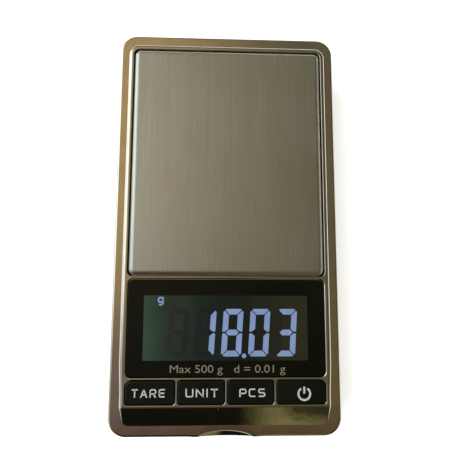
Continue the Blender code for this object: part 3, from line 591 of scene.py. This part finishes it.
def make_upper_case():
    bm = bmesh.new()
    low_z = SHELL_LOW.z
    inner_w, inner_l, inner_r = HALF_W - WALL, HALF_L - WALL, CASE_R - WALL

    # outer wall, rounded edge, band, side of the raised frame
    rings = [case_ring(WALL_FOOT_EDGE, low_z)]
    rings += [case_ring(0, z) for z in (low_z + WALL_FOOT_EDGE, *WALL_STEPS)]
    edge = [(i, BAND_Z - d) for i, d in reversed(fillet(EDGE_R, len(NOTCH_SECTION) - 1))]
    rings += [case_ring(i, z, cut) for (i, z), cut in zip(edge, NOTCH_SECTION)]
    rings.append(case_ring(EDGE_R + SUPPORT, BAND_Z, NOTCH_END))
    rings += [frame_ring(-FRAME_FOOT_R - SUPPORT, 0), frame_ring(-FRAME_FOOT_R, 0),
              frame_ring(-FRAME_FOOT_R * 0.35, 0.03)]
    for i in range(1, SHOULDER_STEPS + 1):
        across = (i / SHOULDER_STEPS) ** 1.8
        up = (1 - (1 - across) ** SHOULDER_FULLNESS) ** (1 / SHOULDER_FULLNESS)
        rings.append(frame_ring(SHOULDER * across, max(0.08, up)))
    rings.append(frame_ring(SHOULDER + SUPPORT, 1))
    placed = [place(bm, r) for r in rings]
    bridge(bm, placed)
    rim = placed[-1]

    # openings in the raised frame
    holes = {
        "pan": make_hole(bm, PAN_LOW.x - RECESS_GAP, PAN_HIGH.x + RECESS_GAP,
                         PAN_LOW.y - PAN_REACH - RECESS_GAP, PAN_HIGH.y + RECESS_GAP,
                         [PAN_HOLE_R] * 4, PAN_HOLE_EDGE, RECESS_Z),
        "window": make_hole(bm, LENS_LOW.x - LENS_GAP, LENS_HIGH.x + LENS_GAP,
                            LENS_LOW.y - LENS_GAP, LENS_HIGH.y + LENS_GAP,
                            [LENS_HOLE_R] * 4, LENS_HOLE_EDGE, LEDGE_Z),
    }
    for name in KEY_NAMES:
        holes[name] = make_hole(bm, *key_opening(name), key_radii(name, KEY_HOLE_R, KEY_HOLE_OUTER_R),
                                KEY_HOLE_EDGE, LEDGE_UNDER_Z)

    # top face, rounded crest and sloping apron
    back_y = CREST_YS[-1]
    top_loop = [v for v in rim if v.co.y >= back_y - 0.001 * MM]
    split = next(i for i, v in enumerate(top_loop) if v.co.y <= back_y + 0.001 * MM and v.co.x > 0)
    top_loop = top_loop[split:] + top_loop[:split]
    fill(bm, [top_loop] + [hole[0] for hole in holes.values()])
    right = [v for v in rim if v.co.x > 0 and any(abs(v.co.y - y) < 1e-7 for y in CREST_YS)]
    left = [v for v in rim if v.co.x < 0 and any(abs(v.co.y - y) < 1e-7 for y in CREST_YS)]
    right.sort(key=lambda v: v.co.y)
    left.sort(key=lambda v: v.co.y)
    for i in range(len(CREST_YS) - 1):
        bm.faces.new((left[i], right[i], right[i + 1], left[i + 1]))
    front = [v for v in rim if v.co.y <= CREST_YS[0] + 1e-7]
    start = front.index(left[0])
    bm.faces.new(front[start:] + front[:start])

    # inside of the shell
    def well(x0, x1, y0, y1, radius, z_low, z_high):
        """Straight-walled opening inside the shell, between two heights."""
        walls = [place(bm, outline(x0, x1, y0, y1, [radius] * 4, z)) for z in (z_low, z_high)]
        bridge(bm, walls)
        return walls

    under_z = LEDGE_UNDER_Z - 0.4 * MM
    inside = [place(bm, outline(-inner_w, inner_w, -inner_l, inner_l, [inner_r] * 4, z, SIDE_YS, FRONT_XS))
              for z in (low_z, CAVITY_Z)]
    bridge(bm, [placed[0], inside[0]])
    bridge(bm, inside)
    carrier = well(*CARRIER_HOLE, 0.5 * MM, RECESS_Z, CAVITY_Z)
    fill(bm, [holes["pan"][-1], carrier[0]])
    board_w = FRAME_HALF_W - 1.4 * MM
    board = well(-board_w, board_w, *BOARD_ROOM_Y, MM, CAVITY_Z, under_z)
    fill(bm, [inside[1], carrier[1], board[0]])
    lens_room = well(*LENS_ROOM, 0.5 * MM, LEDGE_Z, under_z)
    fill(bm, [holes["window"][-1], lens_room[0]])
    key_ends = []
    for name in KEY_NAMES:
        end = place(bm, [Vector((v.co.x, v.co.y, under_z)) for v in holes[name][-1]])
        bridge(bm, [holes[name][-1], end])
        key_ends.append(end)
    fill(bm, [board[1], lens_room[1]] + key_ends)
    for sx in (-1, 1):
        for sy in (-1, 1):
            tube(bm, sx * (HALF_W - CASE_R), sy * (HALF_L - CASE_R), POST_R, POST_BORE_R,
                 low_z, CAVITY_Z + 0.2 * MM)
    piece("chrome_top_shell", bm, CHROME, "case", ["upper_case"])


# ---------------------------------------------------------------- weighing platform
def make_platform():
    bm = bmesh.new()
    x0, x1, y0, y1 = PAN_LOW.x, PAN_HIGH.x, PAN_LOW.y - PAN_REACH, PAN_HIGH.y
    radius, sheet, edge = 1.9 * MM, 0.8 * MM, 1.6 * MM

    def ring(inset, z, shrink=1.0):
        return place(bm, outline(x0 + inset, x1 - inset, y0 + inset, y1 - inset,
                                 [max(radius - inset * shrink, 0.25 * MM)] * 4, z))

    outer = [ring(i, PAN_HIGH.z - d, 0.9) for i, d in reversed(fillet(edge, 9))]
    top = ring(edge + SUPPORT, PAN_HIGH.z, 0.9)
    inner_top = PAN_HIGH.z - sheet
    inner_edge = edge - sheet
    inner = [ring(sheet + i, inner_top - d) for i, d in reversed(fillet(inner_edge, 4))]
    low_outer, low_inner = ring(0, PAN_LOW.z), ring(sheet, PAN_LOW.z)
    bridge(bm, [low_inner, low_outer] + outer + [top])
    bridge(bm, [low_inner] + inner)
    bm.faces.new(top)
    bm.faces.new(inner[-1])
    piece("platform_plate", bm, STEEL, "platform", ["weighing_platform"])


# ---------------------------------------------------------------- window and readout
def make_window():
    bm = bmesh.new()
    slab(bm, LENS_LOW.x, LENS_HIGH.x, LENS_LOW.y, LENS_HIGH.y, [1.5 * MM] * 4, LENS_LOW.z, LENS_HIGH.z,
         0.18 * MM, 4)
    piece("window_lens", bm, LENS, "case", ["display_window"])


def make_display_field():
    bm = bmesh.new()
    x0, x1, y0, y1 = FIELD_BOX
    slab(bm, x0, x1, y0, y1, [0.3 * MM] * 4, LENS_HIGH.z, LENS_HIGH.z + FIELD_T, 0.004 * MM, 1)
    piece("display_area", bm, FIELD, "case")


# Seven segments of one digit, on a cell one unit wide and one tall; each is a bar between two corners.
SEGMENTS = {"a": ((0, 2), (1, 2)), "b": ((1, 1), (1, 2)), "c": ((1, 0), (1, 1)), "d": ((0, 0), (1, 0)),
            "e": ((0, 0), (0, 1)), "f": ((0, 1), (0, 2)), "g": ((0, 1), (1, 1))}
DIGITS = {"1": "bc", "8": "abcdefg", "0": "abcdef", "3": "abcdg"}
DIGIT_W, DIGIT_H = 5.55 * MM, 12.85 * MM
DIGIT_PITCH = 7.5 * MM
DIGITS_BOTTOM = -36.25 * MM
LAST_DIGIT_LEFT = 13.87 * MM
POINT_AT, POINT_R = (4.9 * MM, -36.1 * MM), 0.62 * MM
READING = (None, "1", "8", "0", "3")     # None is a digit that is switched off
STROKE = 1.55 * MM
SEGMENT_GAP = 0.14 * MM
SLANT = 0.062


def segment_outline(key):
    """Mitred bar, drawn on the upright digit, with the outer corners of the digit cut off."""
    (ax, ay), (bx, by) = SEGMENTS[key]
    w, h, t = DIGIT_W, DIGIT_H, STROKE
    cell_h = (h - t) / 2
    a = Vector((t / 2 + ax * (w - t), t / 2 + ay * cell_h))
    b = Vector((t / 2 + bx * (w - t), t / 2 + by * cell_h))
    along = (b - a).normalized()
    across = Vector((-along.y, along.x))
    half, gap = t / 2, SEGMENT_GAP
    centre = Vector((w / 2, h / 2))
    if key == "g":                       # middle bar, pointed at both ends
        ta, tb = a + along * gap * 1.4, b - along * gap * 1.4
        sa, sb = ta + along * half, tb - along * half
        return [ta, sa - across * half, sb - across * half, tb, sb + across * half, sa + across * half]
    inward = across if (centre - a).dot(across) > 0 else -across
    cut = 0.42 * t

    def corner_points(end, sign, at_corner):
        """Points at one end, from the outer side to the inner side."""
        step = along * sign
        mitre_in = end + step * (half + gap * 1.2) + inward * half
        if at_corner:
            mitre_out = end - step * (half - gap * 1.2) - inward * half
            first = mitre_out + step * cut
            second = mitre_out + (step + inward) * (cut * 0.5)
            return [first, second, mitre_in]
        tip = end + step * gap * 1.4
        outer = tip + step * half * 0.1 - inward * half
        return [outer + step * 0.02 * t, tip - inward * half * 0.2, mitre_in]

    return corner_points(a, 1, ay in (0, 2)) + corner_points(b, -1, by in (0, 2))[::-1]


def add_flat(bm, points, z, thick):
    """Closed prism on a flat outline."""
    low = place(bm, [Vector((p.x, p.y, z)) for p in points])
    high = place(bm, [Vector((p.x, p.y, z + thick)) for p in points])
    bridge(bm, [low, high])
    bm.faces.new(low[::-1])
    bm.faces.new(high)


def slanted(point, left, bottom):
    """A point of the upright digit, moved to its place and leant to the right."""
    return Vector((left + point.x + (point.y - DIGIT_H / 2) * SLANT, bottom + point.y, 0))


def make_readout():
    lit, unlit = bmesh.new(), bmesh.new()
    z = LENS_HIGH.z + FIELD_T
    first = LAST_DIGIT_LEFT - (len(READING) - 1) * DIGIT_PITCH
    for i, digit in enumerate(READING):
        for key in SEGMENTS:
            points = [slanted(p, first + i * DIGIT_PITCH, DIGITS_BOTTOM) for p in segment_outline(key)]
            if digit and key in DIGITS[digit]:
                add_flat(lit, points, z, READOUT_T)
            else:
                add_flat(unlit, points, z, READOUT_T / 3)
    add_flat(lit, circle(*POINT_AT, POINT_R, 0, 20), z, READOUT_T)
    piece("readout_digits", lit, LIT, "case")
    piece("readout_unlit_segments", unlit, UNLIT, "case")


WINDOW_LINE = "Max 500 g   d = 0.01 g"
LINE_AT, LINE_WIDTH = (0.45 * MM, -40.56 * MM), 31.7 * MM
LINE_CAP = 2.16 * MM
FONT_CAP = 0.729                         # cap height of the built-in font at size 1
FONT_THICK = 0.02                        # thickness of the extruded text before scaling


def make_window_words():
    """The printed line on the lens, in the plain built-in font."""
    name = "window_capacity_line"
    curve = bpy.data.curves.new(name, "FONT")
    curve.body = WINDOW_LINE
    curve.align_x = "CENTER"
    curve.size = 1.0
    curve.extrude = FONT_THICK / 2
    obj = bpy.data.objects.new(name + "_text", curve)
    bpy.context.scene.collection.objects.link(obj)
    bpy.context.view_layer.update()
    mesh = bpy.data.meshes.new_from_object(obj.evaluated_get(bpy.context.evaluated_depsgraph_get()))
    bpy.data.objects.remove(obj, do_unlink=True)
    xs = [v.co.x for v in mesh.vertices]
    scale = (LINE_WIDTH / (max(xs) - min(xs)), LINE_CAP / FONT_CAP, PRINT_T / FONT_THICK, 1)
    mid = (max(xs) + min(xs)) / 2
    mesh.transform(Matrix.Translation((*LINE_AT, LENS_HIGH.z + PRINT_T / 2))
                   @ Matrix.Diagonal(scale) @ Matrix.Translation((-mid, 0, 0)))
    bm = bmesh.new()
    bm.from_mesh(mesh)
    piece(name, bm, LINE_INK, "case")


# ---------------------------------------------------------------- keys
def stroke_tree():
    """Geometry Nodes: flat strokes along polylines, with rounded corners."""
    tree = bpy.data.node_groups.new("flat_strokes", "GeometryNodeTree")
    tree.is_modifier = True
    face = tree.interface
    face.new_socket("Geometry", in_out="INPUT", socket_type="NodeSocketGeometry")
    for socket, kind in (("Stroke width", "NodeSocketFloat"), ("Print height", "NodeSocketFloat"),
                         ("Corner radius", "NodeSocketFloat"), ("Ink", "NodeSocketMaterial")):
        face.new_socket(socket, in_out="INPUT", socket_type=kind)
    face.new_socket("Geometry", in_out="OUTPUT", socket_type="NodeSocketGeometry")
    nodes, links = tree.nodes, tree.links
    start = nodes.new("NodeGroupInput")
    end = nodes.new("NodeGroupOutput")
    to_curve = nodes.new("GeometryNodeMeshToCurve")
    rounder = nodes.new("GeometryNodeFilletCurve")
    rounder.mode = "POLY"
    rounder.inputs["Count"].default_value = 4
    rounder.inputs["Limit Radius"].default_value = True
    normal = nodes.new("GeometryNodeSetCurveNormal")
    normal.mode = "Z_UP"
    profile = nodes.new("GeometryNodeCurvePrimitiveQuadrilateral")
    sweep = nodes.new("GeometryNodeCurveToMesh")
    sweep.inputs["Fill Caps"].default_value = True
    real = nodes.new("GeometryNodeRealizeInstances")
    paint = nodes.new("GeometryNodeSetMaterial")
    links.new(start.outputs["Geometry"], to_curve.inputs["Mesh"])
    links.new(to_curve.outputs["Curve"], rounder.inputs["Curve"])
    links.new(start.outputs["Corner radius"], rounder.inputs["Radius"])
    links.new(rounder.outputs["Curve"], normal.inputs["Curve"])
    links.new(normal.outputs["Curve"], sweep.inputs["Curve"])
    links.new(start.outputs["Stroke width"], profile.inputs["Width"])
    links.new(start.outputs["Print height"], profile.inputs["Height"])
    links.new(profile.outputs["Curve"], sweep.inputs["Profile Curve"])
    links.new(sweep.outputs["Mesh"], real.inputs["Geometry"])
    links.new(real.outputs["Geometry"], paint.inputs["Geometry"])
    links.new(start.outputs["Ink"], paint.inputs["Material"])
    links.new(paint.outputs["Geometry"], end.inputs["Geometry"])
    return tree


def run_tree(obj, tree, values):
    """Run a node tree on an object, keep the result as a plain mesh, drop the modifier."""
    mod = obj.modifiers.new("Nodes", "NODES")
    mod.node_group = tree
    for item in tree.interface.items_tree:
        if item.in_out == "INPUT" and item.name in values:
            mod[item.identifier] = values[item.name]
    bpy.context.view_layer.update()
    graph = bpy.context.evaluated_depsgraph_get()
    mesh = bpy.data.meshes.new_from_object(obj.evaluated_get(graph))
    bpy.data.objects.remove(obj, do_unlink=True)
    return mesh


# Letters as polylines on a cell one wide and one tall.
LETTERS = {
    "T": [[(-0.05, 1), (1.05, 1)], [(0.5, 1), (0.5, -0.1)]],
    "A": [[(-0.06, -0.12), (0.52, 1.06)], [(0.48, 1.06), (1.06, -0.12)], [(0.2, 0.28), (0.8, 0.28)]],
    "R": [[(0, -0.12), (0, 1), (1, 1), (1, 0.42), (0, 0.42)], [(0.55, 0.42), (1.02, -0.1)]],
    "E": [[(1, 1), (0, 1), (0, 0), (1, 0)], [(0, 0.5), (0.9, 0.5)]],
    "U": [[(0, 1.1), (0, 0), (1, 0), (1, 1.1)]],
    "N": [[(0, -0.1), (0, 1.1)], [(0, 1.04), (1, -0.04)], [(1, -0.1), (1, 1.1)]],
    "I": [[(0.5, 1.1), (0.5, -0.1)]],
    "P": [[(0, -0.1), (0, 1), (1, 1), (1, 0.42), (0, 0.42)]],
    "C": [[(1, 1), (0, 1), (0, 0), (1, 0)]],
    "S": [[(1, 1), (0, 1), (0, 0.5), (1, 0.5), (1, 0), (0, 0)]],
}
NARROW = {"I": 0.12}
LEGEND_CAP = 2.2 * MM
LEGEND_BASE = -46.9 * MM
LEGEND_GAP = 0.62 * MM
LEGEND_STROKE = 0.36 * MM


def word_strokes(word, left, right):
    """Polylines for a word spread between two x positions."""
    half = LEGEND_STROKE / 2
    widths = [NARROW.get(letter, 1.0) for letter in word]
    room = (right - left) - LEGEND_GAP * (len(word) - 1) - LEGEND_STROKE * len(word)
    unit = room / sum(widths)
    lines, x = [], left + half
    for letter, share in zip(word, widths):
        wide = unit * share
        for line in LETTERS[letter]:
            lines.append([(x + px * wide if share == 1 else x + wide / 2,
                           LEGEND_BASE + half + py * (LEGEND_CAP - 2 * half)) for px, py in line])
        x += wide + LEGEND_STROKE + LEGEND_GAP
    return lines


def power_strokes(x, y, radius):
    """Open ring and bar of the power symbol."""
    opening = radians(32)
    steps = 28
    sweep = 2 * pi - 2 * opening
    ring = [(x + radius * cos(pi / 2 + opening + sweep * i / steps),
             y + radius * sin(pi / 2 + opening + sweep * i / steps)) for i in range(steps + 1)]
    return [ring, [(x, y + radius * 1.15), (x, y + radius * 0.05)]]


# For each key: polylines, width of the stroke, rounding of its corners
LEGENDS = {
    "tare": (word_strokes("TARE", -25.6 * MM, -16.4 * MM), LEGEND_STROKE, 0.4 * MM),
    "unit": (word_strokes("UNIT", -11.0 * MM, -2.1 * MM), LEGEND_STROKE, 0.4 * MM),
    "count": (word_strokes("PCS", 3.6 * MM, 10.7 * MM), LEGEND_STROKE, 0.4 * MM),
    "power": (power_strokes(21.4 * MM, -46.15 * MM, 1.62 * MM), 0.56 * MM, 0.0),
}


def make_keys():
    tree = stroke_tree()
    for name in KEY_NAMES:
        low, high = KEY_BOXES[name]
        bm = bmesh.new()
        slab(bm, low.x, high.x, KEY_FRONT, high.y, key_radii(name, KEY_R, KEY_OUTER_R),
             low.z, high.z, KEY_EDGE, 5)
        piece(name + "_key_cap", bm, KEY_BLACK, name + "_key", [name + "_key"])
        lines, width, corner = LEGENDS[name]
        add_strokes(name + "_legend", lines, high.z, width, corner, KEY_INK,
                    name + "_key", tree)
    add_strokes("readout_unit", unit_sign_strokes(), LENS_HIGH.z + FIELD_T, 0.44 * MM, 0.0, LIT,
                "case", tree)


def add_strokes(name, lines, z, width, corner, ink, body, tree):
    """Polylines turned into flat printed strokes on a face at height z."""
    mesh = bpy.data.meshes.new(name)
    verts, edges = [], []
    for line in lines:
        edges += [(len(verts) + i, len(verts) + i + 1) for i in range(len(line) - 1)]
        verts += [(x, y, z + PRINT_T / 2) for x, y in line]
    mesh.from_pydata(verts, edges, [])
    source = bpy.data.objects.new(name + "_lines", mesh)
    bpy.context.scene.collection.objects.link(source)
    made = run_tree(source, tree, {"Stroke width": width, "Print height": PRINT_T,
                                   "Corner radius": corner, "Ink": ink})
    bm = bmesh.new()
    bm.from_mesh(made)
    return piece(name, bm, ink, body)


def unit_sign_strokes():
    """Small g for gram: a round bowl, a stem and a hooked tail."""
    x, y, radius = -18.32 * MM, -20.98 * MM, 0.62 * MM
    bowl = [(x + radius * cos(a), y + radius * 1.05 * sin(a)) for a in (2 * pi * i / 20 for i in range(21))]
    stem_x, stem_low = x + radius + 0.06 * MM, y - radius - 0.1 * MM
    hook_x = x + 0.04 * MM
    tail = [(stem_x, y + radius + 0.2 * MM), (stem_x, stem_low)]
    tail += [(hook_x + (stem_x - hook_x) * cos(a), stem_low + radius * sin(a))
             for a in (radians(-15 * i) for i in range(1, 10))]
    return [bowl, tail]


# ---------------------------------------------------------------- lower case, door, feet
def smooth_copy(node, name, body):
    """Welded copy of a moulded CAD node with smooth rounded stretches."""
    bm = bmesh.new()
    bm.from_mesh(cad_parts[node].data)
    bmesh.ops.remove_doubles(bm, verts=bm.verts, dist=0.000002)
    bmesh.ops.dissolve_limit(bm, angle_limit=radians(0.5), verts=bm.verts, edges=bm.edges)
    mesh = bpy.data.meshes.new(name)
    bm.to_mesh(mesh)
    bm.free()
    mesh.shade_smooth()
    mesh.set_sharp_from_angle(angle=radians(30))
    mesh.materials.append(CASE_BLACK)
    obj = bpy.data.objects.new(name, mesh)
    bpy.context.scene.collection.objects.link(obj)
    weighted = obj.modifiers.new("Flat faces stay flat", "WEIGHTED_NORMAL")
    weighted.keep_sharp = True
    settle(obj, body, [node])


FOOT_EDGE = 0.35 * MM
# Shallow groove round the underside of a foot: (share of its radius, height)
FOOT_GROOVE = ((0.80, 0.0), (0.74, 0.06 * MM), (0.66, 0.06 * MM), (0.60, 0.0), (0.2, 0.0))


def make_lower_parts():
    smooth_copy("lower_case", "base_tray", "case")
    smooth_copy("battery_door", "door_panel", "battery_door")
    for side in ("left_front", "right_front", "left_back", "right_back"):
        low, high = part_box("foot_" + side)
        centre, radius = (low + high) / 2, (high.x - low.x) / 2
        bm = bmesh.new()

        def ring(r, z):
            return place(bm, circle(centre.x, centre.y, r, z))

        rings = [ring(radius - i, low.z + d) for i, d in fillet(FOOT_EDGE, 5)]
        rings.append(ring(radius, high.z))
        groove = [ring(radius * share, low.z + rise) for share, rise in FOOT_GROOVE]
        bridge(bm, groove[::-1] + rings)
        bm.faces.new(groove[-1])
        bm.faces.new(rings[-1])
        piece("rubber_foot_" + side, bm, RUBBER, "case", ["foot_" + side])


# ---------------------------------------------------------------- pieces that keep their CAD shape
def paint_inside():
    """Finishes for the CAD nodes that no refined piece stands for."""
    zinc = machined_metal("zinc_plated_steel", (0.58, 0.58, 0.60), 0.32)
    looks = {
        "load_cell": machined_metal("milled_aluminium", (0.76, 0.76, 0.77), 0.36, pi / 2),
        "main_circuit_board": circuit_laminate(),
        "controller_chip": coated("chip_epoxy", (0.02, 0.02, 0.022), 0.35),
        "platform_carrier": CASE_BLACK,
        "lcd_panel": coated("display_glass", (0.03, 0.045, 0.035), 0.12, 200),
        "lcd_backlight": coated("light_guide", (0.70, 0.76, 0.92), 0.4, 300),
        "lcd_frame": coated("display_frame", (0.70, 0.70, 0.66), 0.5),
        "contact_strip_front": RUBBER, "contact_strip_back": RUBBER,
        "battery_1": cell_label(), "battery_2": cell_label(),
        "tare_switch_plunger": KEY_BLACK, "unit_switch_plunger": KEY_BLACK,
        "count_switch_plunger": KEY_BLACK, "power_switch_plunger": KEY_BLACK,
        "signal_wire_red": coated("red_insulation", (0.50, 0.02, 0.02)),
        "signal_wire_black": coated("black_insulation", (0.015, 0.015, 0.015)),
        "signal_wire_white": coated("white_insulation", (0.72, 0.72, 0.70)),
        "signal_wire_green": coated("green_insulation", (0.02, 0.30, 0.06)),
    }
    foil = coated("gauge_foil", (0.62, 0.30, 0.06), 0.35)
    for name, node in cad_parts.items():
        if node.hide_render:
            continue
        look = foil if name.startswith("strain_gauge") else looks.get(name, zinc)
        node.data.materials.clear()
        node.data.materials.append(look)


# ---------------------------------------------------------------- studio
def make_floor():
    mesh = bpy.data.meshes.new("floor")
    bm = bmesh.new()
    bmesh.ops.create_grid(bm, x_segments=2, y_segments=2, size=3.0)
    bm.to_mesh(mesh)
    bm.free()
    mesh.materials.append(pale_floor())
    floor = bpy.data.objects.new("floor", mesh)
    floor.location.z = -0.2 * MM
    floor.visible_glossy = False          # metal sees the lower half of the room light instead
    bpy.context.scene.collection.objects.link(floor)


def make_lamp():
    """Large soft lamp at the left, kept out of reflections."""
    light = bpy.data.lights.new("window_light", "AREA")
    light.shape = "RECTANGLE"
    light.size = light.size_y = 0.7
    light.energy = 6.0
    light.color = (1.0, 1.0, 0.98)
    obj = bpy.data.objects.new("window_light", light)
    obj.location = (-0.50, 0.15, 0.60)
    aim = Vector((0, 0, 0.015)) - obj.location
    obj.rotation_euler = aim.to_track_quat("-Z", "Y").to_euler()
    obj.visible_glossy = False
    bpy.context.scene.collection.objects.link(obj)


def make_world():
    """Room light on a plain pale backdrop: bright from the left, warm and dim overhead, dark in front.

    x, y and z are the parts of the direction looked in; each mix changes the colour over a short
    span of one of them.
    """
    world = bpy.data.worlds.new("room")
    bpy.context.scene.world = world
    world.use_nodes = True
    tree = world.node_tree
    nodes, links = tree.nodes, tree.links
    background = nodes["Background"]
    coord = nodes.new("ShaderNodeTexCoord")
    split = nodes.new("ShaderNodeSeparateXYZ")
    links.new(coord.outputs["Generated"], split.inputs[0])

    def smooth(value, low, high):
        """0 below low, 1 above high, with a soft change between."""
        node = nodes.new("ShaderNodeMapRange")
        node.interpolation_type = "SMOOTHSTEP"
        node.inputs[1].default_value = low
        node.inputs[2].default_value = high
        links.new(value, node.inputs[0])
        return node.outputs[0]

    def mix(factor, low, high):
        node = nodes.new("ShaderNodeMix")
        node.data_type = "RGBA"
        links.new(factor, node.inputs[0])
        for socket, value in ((node.inputs[6], low), (node.inputs[7], high)):
            if isinstance(value, tuple):
                socket.default_value = (*value, 1)
            else:
                links.new(value, socket)
        return node.outputs[2]

    x, y, z = (split.outputs[i] for i in range(3))
    # ceiling, left and right half, dimmer towards the front
    left = mix(smooth(y, -0.30, 0.15), (0.175, 0.130, 0.110), (0.44, 0.32, 0.155))
    left = mix(smooth(y, -0.42, -0.30), (0.100, 0.057, 0.040), left)
    right = mix(smooth(y, -0.30, 0.15), (0.140, 0.105, 0.047), (0.125, 0.108, 0.066))
    right = mix(smooth(y, -0.42, -0.30), (0.076, 0.050, 0.030), right)
    room = mix(smooth(x, -0.22, 0.22), left, right)
    # front: black at the left, olive at the right
    front = mix(smooth(x, 0.06, 0.17), (0.007, 0.007, 0.005), (0.19, 0.17, 0.066))
    shaded = mix(smooth(x, 0.15, 0.20), front, (0.035, 0.031, 0.014))
    front = mix(smooth(y, -0.745, -0.705), front, shaded)
    room = mix(smooth(y, -0.64, -0.50), front, room)
    # bright window and paler wall at the left
    bright = mix(smooth(y, -0.30, 0.10), (0.42, 0.44, 0.40), (1.5, 1.6, 1.6))
    bright = mix(smooth(y, -0.62, -0.42), (0.05, 0.05, 0.04), bright)
    side = mix(smooth(y, -0.30, 0.10), (0.24, 0.26, 0.21), (0.62, 0.66, 0.55))
    side = mix(smooth(y, -0.62, -0.42), (0.10, 0.10, 0.08), side)
    room = mix(smooth(x, -0.56, -0.27), bright, room)
    room = mix(smooth(x, -0.95, -0.85), side, room)
    # dark corner and wall at the right, plain wall at the back
    room = mix(smooth(x, 0.36, 0.52), room, (0.024, 0.024, 0.013))
    room = mix(smooth(y, 0.60, 0.75), room, (0.14, 0.14, 0.10))
    room = mix(smooth(x, 0.62, 0.80), room, (0.24, 0.23, 0.16))
    # table: bright near the horizon, paler below, dim in front
    near = mix(smooth(x, -0.10, 0.30), (0.46, 0.48, 0.37), (0.20, 0.20, 0.15))
    low = mix(smooth(z, -0.34, -0.20), (0.66, 0.66, 0.62), (1.9, 1.9, 1.85))
    ground = mix(smooth(y, -0.75, -0.50), near, low)
    around = mix(smooth(z, -0.03, 0.01), ground, room)
    seen = nodes.new("ShaderNodeLightPath").outputs["Is Camera Ray"]
    links.new(mix(seen, around, (0.94, 0.94, 0.94)), background.inputs["Color"])
    background.inputs["Strength"].default_value = 1.0


CAMERA_PLACE = Vector((-4.10 * MM, -11.86 * MM, BAND_Z + 108.68 * MM))
CAMERA_TILT = (0.111, -0.033, 0.009)      # about X, then Y, then Z, from looking straight down
CAMERA_LENS = 30.3


def make_camera():
    data = bpy.data.cameras.new("camera")
    data.lens = CAMERA_LENS
    data.sensor_width = 36.0
    data.clip_start = 0.005
    data.clip_end = 20.0
    camera = bpy.data.objects.new("camera", data)
    pitch, yaw, roll = CAMERA_TILT
    turn = Matrix.Rotation(pitch, 4, "X") @ Matrix.Rotation(yaw, 4, "Y") @ Matrix.Rotation(roll, 4, "Z")
    camera.matrix_world = Matrix.Translation(CAMERA_PLACE) @ turn
    bpy.context.scene.collection.objects.link(camera)
    bpy.context.scene.camera = camera


make_upper_case()
make_platform()
make_window()
make_display_field()
make_readout()
make_window_words()
make_keys()
make_lower_parts()
paint_inside()
make_floor()
make_world()
make_lamp()
make_camera()
bpy.context.scene.view_settings.view_transform = "Standard"
